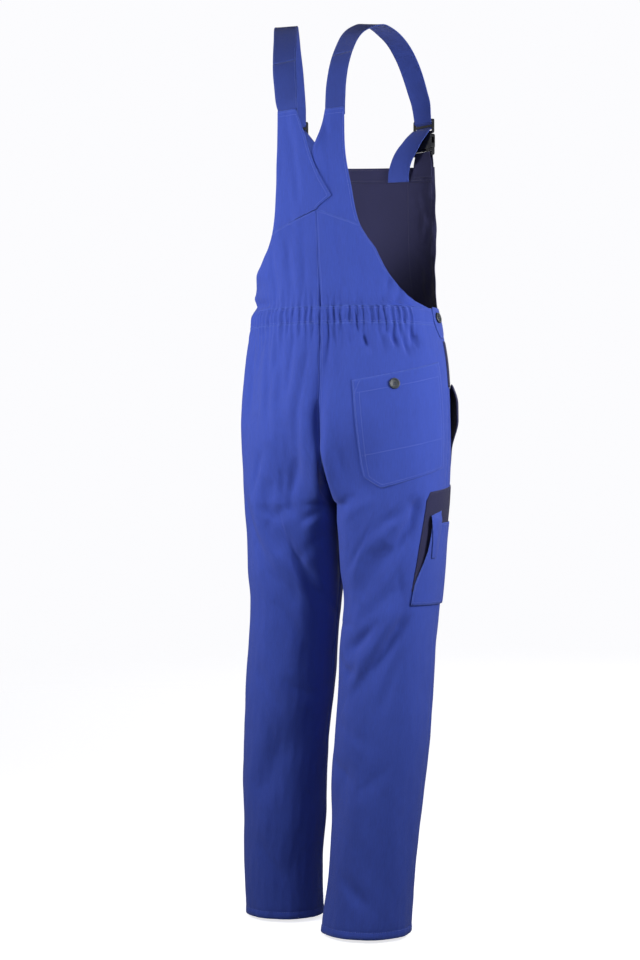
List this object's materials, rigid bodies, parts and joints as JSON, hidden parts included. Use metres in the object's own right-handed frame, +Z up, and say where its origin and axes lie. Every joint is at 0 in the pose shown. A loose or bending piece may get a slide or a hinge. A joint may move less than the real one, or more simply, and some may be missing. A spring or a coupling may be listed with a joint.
{
  "type": "bib dungarees",
  "caption": "Work dungarees with crossed back straps, a gathered back waist, a bib with buckles, a back pocket and a thigh pocket, shown as worn with no wearer",
  "frame": {"origin": "midway between the undersides of the two straps where the wearer's shoulders carry them", "axes": "+Z up along the body, the front of the garment faces -Y, the wearer's left is +X"},
  "size_m": [0.3782, 0.2545, 1.4664],
  "materials": {
    "royal_cloth": "woven cotton twill, matt",
    "navy_cloth": "woven cotton twill, matt",
    "strap_webbing": "woven strap, matt",
    "buckle_plastic": "moulded, slight sheen",
    "button_plastic": "moulded, satin"
  },
  "bodies": {
    "root": {"back_left": "royal_cloth", "back_right": "royal_cloth", "front_left": "royal_cloth", "front_right": "royal_cloth", "back_waist_casing": "royal_cloth", "back_bodice_left": "royal_cloth", "back_bodice_right": "royal_cloth", "back_strap_piece_left": "royal_cloth", "back_strap_piece_right": "royal_cloth", "back_pocket": "royal_cloth", "thigh_pocket_front": "royal_cloth", "tool_loop": "royal_cloth", "side_tab_left": "royal_cloth", "side_tab_right": "royal_cloth", "strap_back_left": "strap_webbing", "strap_back_right": "strap_webbing", "strap_left": "strap_webbing", "strap_right": "strap_webbing", "bib": "navy_cloth", "bib_top_facing": "navy_cloth", "buckle_loop_left": "navy_cloth", "buckle_loop_right": "navy_cloth", "side_placket_left": "navy_cloth", "side_placket_right": "navy_cloth", "hip_pocket_left": "navy_cloth", "hip_pocket_right": "navy_cloth", "thigh_pocket_insert": "navy_cloth", "buckle_clip_left": "buckle_plastic", "buckle_clip_right": "buckle_plastic", "buckle_socket_left": "buckle_plastic", "buckle_socket_right": "buckle_plastic", "back_pocket_button": "button_plastic", "side_button_left": "button_plastic", "side_button_right": "button_plastic"}
  },
  "joints": []
}
